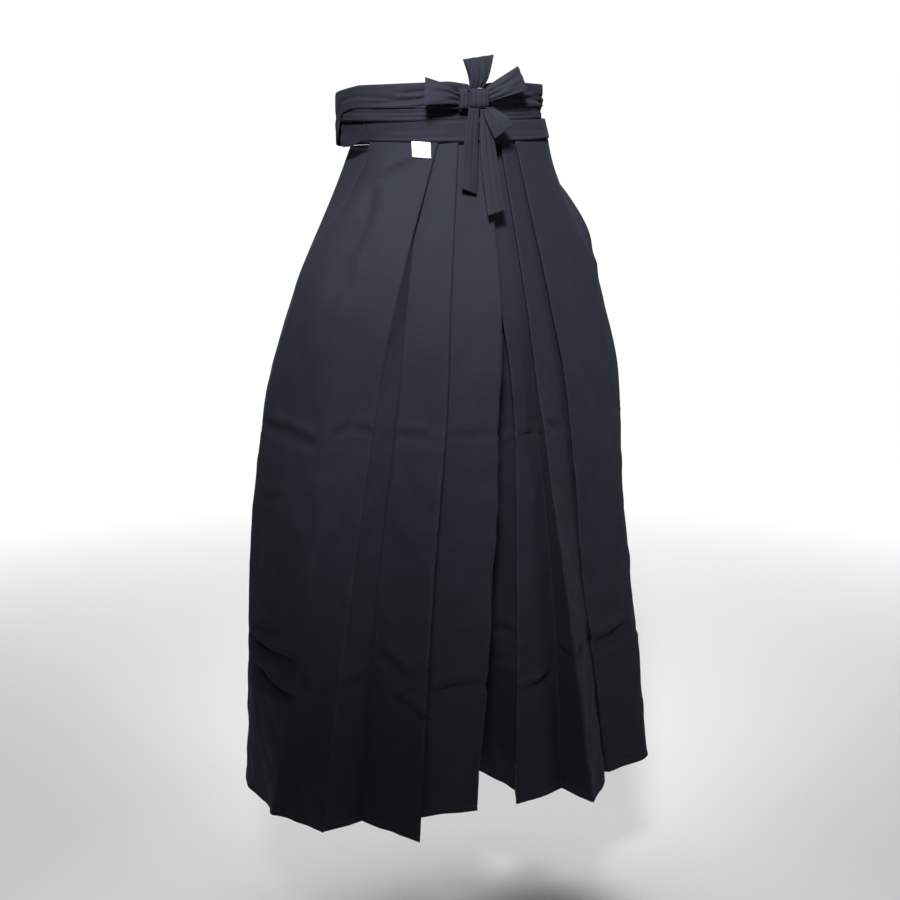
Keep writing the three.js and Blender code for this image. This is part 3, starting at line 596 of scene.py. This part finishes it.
def band(name, rows, thickness, creases=(), across_rows=16, seed=0, ripple=0.25, edge_stitch=None):
    """A wound strip. rows: (angle, out, lower z, upper z, share of the wound outline). creases: (start angle,
    end angle, height share at the start, at the end, depth, width as a share), each a soft trough along the strip."""
    table = np.array(rows, float)
    degrees = np.linspace(table[0, 0], table[-1, 0], int(abs(table[-1, 0] - table[0, 0]) * 1.1) + 24)
    out, low, high, share = (np.interp(degrees, table[:, 0], table[:, k]) for k in (1, 2, 3, 4))
    low, high = smooth_line(low, 7), smooth_line(high, 7)
    angle = np.radians(degrees)
    plan = oval(WAIST, angle, out) * (1 - share)[:, None] + oval(WRAP, angle, out) * share[:, None]
    v = np.linspace(0, 1, across_rows)[:, None]
    grid = np.empty((across_rows, len(degrees), 3))
    grid[..., :2] = plan[None]
    grid[..., 2] = high * (1 - v) + low * v
    grid[..., 0] += LEAN * np.clip(grid[..., 2] / BAND_TOP, 0, 1) * (1 - share)
    normal = np.stack([np.gradient(plan[:, 1]), -np.gradient(plan[:, 0])], axis=1)
    normal /= np.linalg.norm(normal, axis=1, keepdims=True)
    push = np.zeros(grid.shape[:2])
    for start, end, from_share, to_share, depth, width in creases:
        t = (degrees - start) / (end - start)
        centre = from_share + (to_share - from_share) * t + 0.03 * np.sin(degrees / 9)
        fade = np.clip(np.minimum(t, 1 - t) * 5, 0, 1) * np.clip(1.2 - 0.6 * np.sin(degrees / 14), 0.3, 1)
        off = (v - centre) / width
        push += depth * fade * (np.exp(-(off**2)) - 0.5 * np.exp(-((off - 1.9) ** 2)))
    rng = np.random.default_rng(seed)
    for wide, height in ((23, 1.0), (11, 0.6), (6, 0.35)):
        a, b = rng.uniform(0, 6.28, 2)
        push += ripple * height * np.sin(degrees * 6.28 / wide + a + 2 * v) * np.cos(3 * v + b)
    edge = np.minimum(v, 1 - v) * (high - low)
    push += 0.5 * np.exp(-edge / 0.8)
    grid[..., :2] -= normal[None] * push[..., None]
    stitch = None
    if edge_stitch is not None:
        stitch = np.exp(-(((1 - v) * (high - low) - edge_stitch) / 0.8) ** 2)
    return cloth_piece(name, grid, thickness, stitch=stitch, outward=(0, 0, 30))


def smooth_line(values, rounds):
    """Averages a line of values with its neighbours, keeping its ends."""
    values = values.copy()
    for _ in range(rounds):
        values[1:-1] = (values[:-2] + 2 * values[1:-1] + values[2:]) / 4
    return values


def mirrored(rows):
    return [(-row[0], *row[1:]) for row in rows][::-1]


BAND_TOP = 24
BAND_EDGE = 69
BOARD_EDGE = 122
FRONT_BAND = [(-BAND_EDGE, 2.1, -1.5, BAND_TOP, 0), (BAND_EDGE, 2.1, -1.5, BAND_TOP, 0)]
LEAN = -7  # how far the waistband's upper edge sits to the wearer's right of its lower edge
FIRST_TURN = [(BAND_EDGE + 0.7, 2.1, -1.2, BAND_TOP - 0.3, 0), (77, 0, -3, 23.7, 0.2), (86, -3, -9.5, 23.6, 0.5),
              (97, -4.6, -11, 23.4, 0.9), (112, -5, -6, 23.2, 1), (122, -5, 4, 23, 1), (179.8, -5, 5, 23, 1)]
SECOND_TURN = [(0.2, -1.2, 27.5, 40, 1), (20, -1.2, 25.5, 40, 1), (60, -1.4, 24.3, 40, 1), (110, -3.2, 24.3, 40, 1),
               (179.8, -4.2, 24.3, 40, 1)]
UPPER_TURN = [(4, 0, 42, 70, 1), (14, 0, 40.6, 73.5, 1), (44, 0, 40.3, 70.5, 1), (68, 0, 40.3, 68.5, 1),
              (78, 0, 38, 65, 1), (88, 0.3, 32, 62, 1), (96, 0.6, 4, 60, 1),
              (104, 0.8, -8, 57, 1), (BOARD_EDGE - 0.2, 0.8, BACK_TOP, 46, 1)]
BACK_BOARD = [(BOARD_EDGE, 1.2, BACK_TOP, 46, 1), (BOARD_EDGE + 22, 1.2, BACK_TOP, 68, 1),
              (360 - BOARD_EDGE - 22, 1.2, BACK_TOP, 68, 1), (360 - BOARD_EDGE, 1.2, BACK_TOP, 46, 1)]


def make_bands():
    band("front_waistband", FRONT_BAND, 2.4, edge_stitch=3.0, seed=3, ripple=0.12,
         creases=[(-60, -10, 0.5, 0.35, 0.5, 0.12), (5, 60, 0.4, 0.6, 0.5, 0.12)])
    for side, name, turn in ((-1, "right", mirrored), (1, "left", list)):
        band(f"front_tie_{name}", turn(FIRST_TURN), 1.4, seed=5 + side,
             creases=[(side * 74, side * 170, 0.45, 0.6, 0.9, 0.12)])
        band(f"front_tie_turn_{name}", turn(SECOND_TURN), 1.5, seed=8 + side, ripple=0.35,
             creases=[(side * 4, side * 150, 0.3, 0.45, 1.6, 0.13), (side * 8, side * 80, 0.72, 0.6, 1.2, 0.1),
                      (side * 60, side * 176, 0.8, 0.7, 1.0, 0.1)])
        band(f"back_tie_{name}", turn(UPPER_TURN), 1.4, seed=11 + side, ripple=0.4, across_rows=22,
             creases=[(side * 5, side * 70, 0.5, 0.86, 3.2, 0.09), (side * 5, side * 44, 0.3, 0.36, 2.6, 0.08),
                      (side * 6, side * 34, 0.66, 0.97, 2.4, 0.07), (side * 5, side * 26, 0.42, 0.1, 2.4, 0.07),
                      (side * 30, side * 118, 0.62, 0.4, 1.6, 0.08)])
    band("back_waistband", BACK_BOARD, 4, seed=15, ripple=0.05, edge_stitch=4.0)


# ---- bow ---------------------------------------------------------------------------------------------------------------------
KNOT = np.array([-16.0, -120.0, 53.0])
TOWARDS_VIEWER = np.array([0.0, -1.0, 0.0])


def along_curve(points, t):
    """Smooth cubic through evenly numbered points, read at t from 0 to 1."""
    points = np.array(points, float)
    knots = -np.arange(len(points), dtype=float)
    return curve_matrix(knots, -np.asarray(t) * (len(points) - 1)) @ points


def strip(name, stations, thickness, folds, crown=1.0, steps=60, wide=26):
    """A loose tie end. stations: middle from the knot and the vector to the edge, as six numbers. folds: (place
    across from -1 to 1, depth, width, fade along) each a trough that runs down the strip."""
    stations = np.array(stations, float)
    t = np.linspace(0, 1, steps)
    middle = along_curve(stations[:, :3], t) + KNOT
    half = along_curve(stations[:, 3:], t)
    w = np.linspace(-1, 1, wide)
    lift = np.cross(np.gradient(middle, axis=0), half)
    lift /= np.linalg.norm(lift, axis=1, keepdims=True)
    height = np.broadcast_to(crown * (1 - w**2), (steps, wide)).copy()
    for place, depth, width, fade in folds:
        height -= depth * np.exp(-(((w[None] - place) / width) ** 2)) * np.exp(-fade * t)[:, None]
    height += 0.5 * np.sin(9 * t + 1.0)[:, None] * w
    grid = middle[:, None] + half[:, None] * w[None, :, None] + lift[:, None] * height[..., None]
    stitch = np.broadcast_to(np.exp(-(((1 - np.abs(w)) / 0.12 - 1) ** 2) * 3) * 0.15, (steps, wide))
    return cloth_piece(name, grid, thickness, stitch=stitch)


def bow_loop(name, stations, puff, gathers, thickness=1.2, steps=72, wide=34, seed=1):
    """A loop of the bow: the tie runs out and back, so two layers part in the middle and meet at the outer fold and
    at the knot. Gathers are waves across the width that die away from the knot."""
    stations = np.array(stations, float)
    s = np.linspace(-1, 1, steps)
    t = 1 - np.abs(s)
    middle = along_curve(stations[:, :3], t) + KNOT
    half = along_curve(stations[:, 3:], t)
    w = np.linspace(-1, 1, wide)
    side = np.sign(s + 1e-9)
    belly = puff * np.sin(np.pi * np.clip(t, 0, 1)) ** 0.8 + 0.9 * (1 - t)
    rng = np.random.default_rng(seed)
    a, b = rng.uniform(0, 6.28, 2)
    gather = gathers * np.exp(-2.2 * t)[:, None] * np.cos(w[None] * np.pi * 3.2 + a + side[:, None])
    gather += 0.45 * gathers * np.sin(w[None] * 7 + 5 * t[:, None] + b) * np.sin(np.pi * t)[:, None]
    height = (side * belly)[:, None] * (1 - 0.35 * w[None] ** 2) + gather
    grid = middle[:, None] + half[:, None] * w[None, :, None] + TOWARDS_VIEWER * height[..., None]
    return cloth_piece(name, grid, thickness)


def wound_turn(name, centre, half, opening, folds, steps=48, wide=30):
    """A turn of the tie wound round the knot: a rounded square section, open behind, whose edges curl back."""
    a = np.linspace(-np.pi + opening, np.pi - opening, steps)
    soft = lambda v: np.sign(v) * np.abs(v) ** 0.62
    w = np.linspace(-1, 1, wide)
    curl = 1 - 0.34 * np.abs(w) ** 5
    height = np.ones((steps, wide)) * curl
    for place, depth, width in folds:
        height -= depth * np.exp(-(((w[None] - place) / width) ** 2)) * (0.75 + 0.25 * np.cos(a))[:, None]
    x = np.broadcast_to(half[0] * w, (steps, wide)) * (1 - 0.05 * np.cos(2 * a))[:, None]
    y = -half[1] * soft(np.cos(a))[:, None] * height
    z = half[2] * soft(np.sin(a))[:, None] * (0.4 + 0.6 * height)
    grid = np.stack([x, y, z], axis=-1) + KNOT + np.array(centre)
    return cloth_piece(name, grid, 1.2, outward=KNOT + np.array(centre))


def make_bow():
    wound_turn("knot", (0, 0, 0), (12.6, 7.6, 11.6), 0.7, [(-0.45, 0.16, 0.1), (0.2, 0.1, 0.08), (0.66, 0.14, 0.1)])
    wound_turn("knot_roll", (-20.5, 3, -0.5), (6.0, 5.6, 12.4), 0.7, [(0.1, 0.16, 0.2)], wide=18)
    bow_loop("loop_top", [(-2, 2, 12.5, 9, 1, 0), (-1, -2, 28, 13, -1, -1), (-3, -5, 51, 20, -3, 3)], 3.4, 1.6, seed=2)
    bow_loop("loop_left", [(-28, 2, 1, 0, 2, 9), (-50, -3, 6, 0, 3, 12.5), (-77, -3, 9, 3, 4, 17)], 3.4, 1.8, seed=3)
    bow_loop("loop_right", [(14, 2, 4, 2, -2, -8), (36, -2, 14, 4, -3, -11), (65, 2, 25, 6, -3, -15)], 3.6, 1.8, seed=4)
    bow_loop("end_lower", [(9, -8, -13, 7, 0, 2), (18, -15, -27, 11, -1, 6), (28, -19, -42, 13, -2, 9)], 1.8, 1.2, seed=5)
    strip("tail_left", [(-8, -3, -13, 7, 0, 0), (-10, 1, -60, 10, 0, -1), (-12, 2, -117, 11, 0, -4)], 1.3,
          [(0.25, 1.6, 0.16, 1.2), (-0.5, 1.0, 0.12, 2.5)])
    strip("tail_right", [(9.5, -3, -14, 8, 0, 0), (9, -11, -66, 11, 0, 0), (17, -20, -144, 12.5, 0, 3)], 1.3,
          [(-0.1, 2.2, 0.14, 0.9), (0.55, 1.2, 0.14, 2.0)], crown=1.4)


# ---- label -------------------------------------------------------------------------------------------------------------------
LABEL = dict(width=22, height=20, x=-81, z=-11.6, tilt=5, proud=2.2)


def make_label():
    """A flat patch whose depth follows the panel's own section under it, moved out."""
    sections, _ = table_sections(FRONT_RIGHT, 1, 1)
    tilt = math.radians(LABEL["tilt"])
    v, u = np.meshgrid(np.linspace(1, -1, 22), np.linspace(-1, 1, 24), indexing="ij")
    dx, dz = u * LABEL["width"] / 2, v * LABEL["height"] / 2
    x = LABEL["x"] + dx * math.cos(tilt) + dz * math.sin(tilt)
    z = LABEL["z"] - dx * math.sin(tilt) + dz * math.cos(tilt)
    lines = np.einsum("zl,lkc->zkc", curve_matrix(HEIGHTS, z[:, 12]), sections)[:, :5]
    y = np.array([np.interp(row_x, line[:, 0], line[:, 1]) for row_x, line in zip(x, lines)])
    y = y - LABEL["proud"] - 0.5
    edge = np.minimum(1 - np.abs(u), 1 - np.abs(v))
    stitch = np.exp(-(((edge - 0.12) / 0.04) ** 2))
    cloth_piece("label", np.stack([x, y, z], axis=-1), 0.7, LABEL_WHITE, stitch=stitch, outward=(0, 0, 0))


# ---- stage -------------------------------------------------------------------------------------------------------------------
VIEW = dict(azimuth=-25.0, tilt=13.8, distance=2.1, height=0.080, lens=60.88)


def aim(thing, direction):
    """Turns an object so that its -Z axis points along a direction with its top kept up."""
    from mathutils import Vector

    thing.rotation_euler = Vector(direction).to_track_quat("-Z", "Y").to_euler()


def make_camera():
    camera = bpy.data.objects.new("camera", bpy.data.cameras.new("camera"))
    bpy.context.scene.collection.objects.link(camera)
    a, t = math.radians(VIEW["azimuth"]), math.radians(VIEW["tilt"])
    camera.location = (math.sin(a) * VIEW["distance"], -math.cos(a) * VIEW["distance"], VIEW["height"])
    aim(camera, (-math.sin(a) * math.cos(t), math.cos(a) * math.cos(t), -math.sin(t)))
    camera.data.sensor_width = 36
    camera.data.lens = VIEW["lens"]
    camera.data.clip_end = 50
    bpy.context.scene.camera = camera


def area_light(name, place, target, size, power, spread=180):
    light = bpy.data.lights.new(name, "AREA")
    light.shape = "DISK"
    light.size = size
    light.energy = power
    light.spread = math.radians(spread)
    lamp = bpy.data.objects.new(name, light)
    bpy.context.scene.collection.objects.link(lamp)
    lamp.location = place
    aim(lamp, [b - a for a, b in zip(place, target)])


def pale_floor(reach):
    """A plain pale floor that thins out into the white surroundings at a distance from the middle."""
    nodes = Nodes(bpy.data.materials.new("pale_floor"))
    place = nodes.add("TexCoord").outputs["Object"]
    flat = nodes.add("VectorMath", dict(operation="MULTIPLY"), _0=place, _1=(1, 1, 0)).outputs[0]
    away = nodes.value(nodes.add("VectorMath", dict(operation="LENGTH"), _0=flat).outputs["Value"])
    thin = nodes.add("MapRange", Value=away, From_Min=reach * 0.3, From_Max=reach).outputs["Result"]
    matt = nodes.add("BsdfPrincipled", Base_Color=(0.9, 0.9, 0.9, 1), Roughness=0.9).outputs[0]
    clear = nodes.add("BsdfTransparent").outputs[0]
    nodes.add("OutputMaterial", Surface=nodes.add("MixShader", _0=thin, _1=matt, _2=clear).outputs[0])
    return nodes.owner


def make_stage():
    """A round pale floor below the hem in white surroundings, lit softly from the front, upper left."""
    reach = 2.6
    floor_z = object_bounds()[0][2] - 0.3
    turn, out = np.meshgrid(np.linspace(0, 2 * np.pi, 49), np.linspace(0.001, reach, 12))
    grid = np.stack([out * np.cos(turn), out * np.sin(turn), np.full_like(out, floor_z)], axis=-1)
    mesh = bpy.data.meshes.new("floor")
    index = np.arange(out.size).reshape(out.shape)
    quads = np.stack([index[:-1, :-1], index[1:, :-1], index[1:, 1:], index[:-1, 1:]], axis=-1).reshape(-1, 4)
    mesh.from_pydata(grid.reshape(-1, 3).tolist(), [], quads.tolist())
    mesh.materials.append(pale_floor(reach))
    floor = bpy.data.objects.new("floor", mesh)
    bpy.context.scene.collection.objects.link(floor)
    area_light("key", (-1.0, -1.95, 1.2), (-0.02, -0.1, 0.04), 0.4, 7.0, spread=34)
    area_light("side", (1.2, -1.7, 0.1), (0.16, -0.05, -0.42), 0.6, 0.7, spread=46)
    area_light("top", (0, 0, 2.6), (0, 0, 0), 3.0, 20, spread=60)
    nodes = Nodes(bpy.data.worlds.new("studio"))
    bpy.context.scene.world = nodes.owner
    seen = nodes.value(nodes.add("LightPath").outputs["Is Camera Ray"])
    sky = nodes.add("Background", Color=(1, 1, 1, 1), Strength=seen * 0.97 + 0.05)
    nodes.add("OutputWorld", Surface=sky.outputs[0])
    bpy.context.scene.view_settings.view_transform = "Standard"


make_camera()
leg_panel("front_panel_right", FRONT_RIGHT, MIDDLE_FRONT, -1, 1, -SEAM, 21)
leg_panel("front_panel_left", FRONT_LEFT, MIDDLE_FRONT, 1, 1, -SEAM, 22)
leg_panel("back_panel_right", BACK_RIGHT, MIDDLE_BACK, -1, -1, BACK_TOP - SEAM, 23)
leg_panel("back_panel_left", BACK_LEFT, MIDDLE_BACK, 1, -1, BACK_TOP - SEAM, 24)
inner_leg("gusset_right", -1, 25)
inner_leg("gusset_left", 1, 26)
make_bands()
make_bow()
make_label()
make_stage()
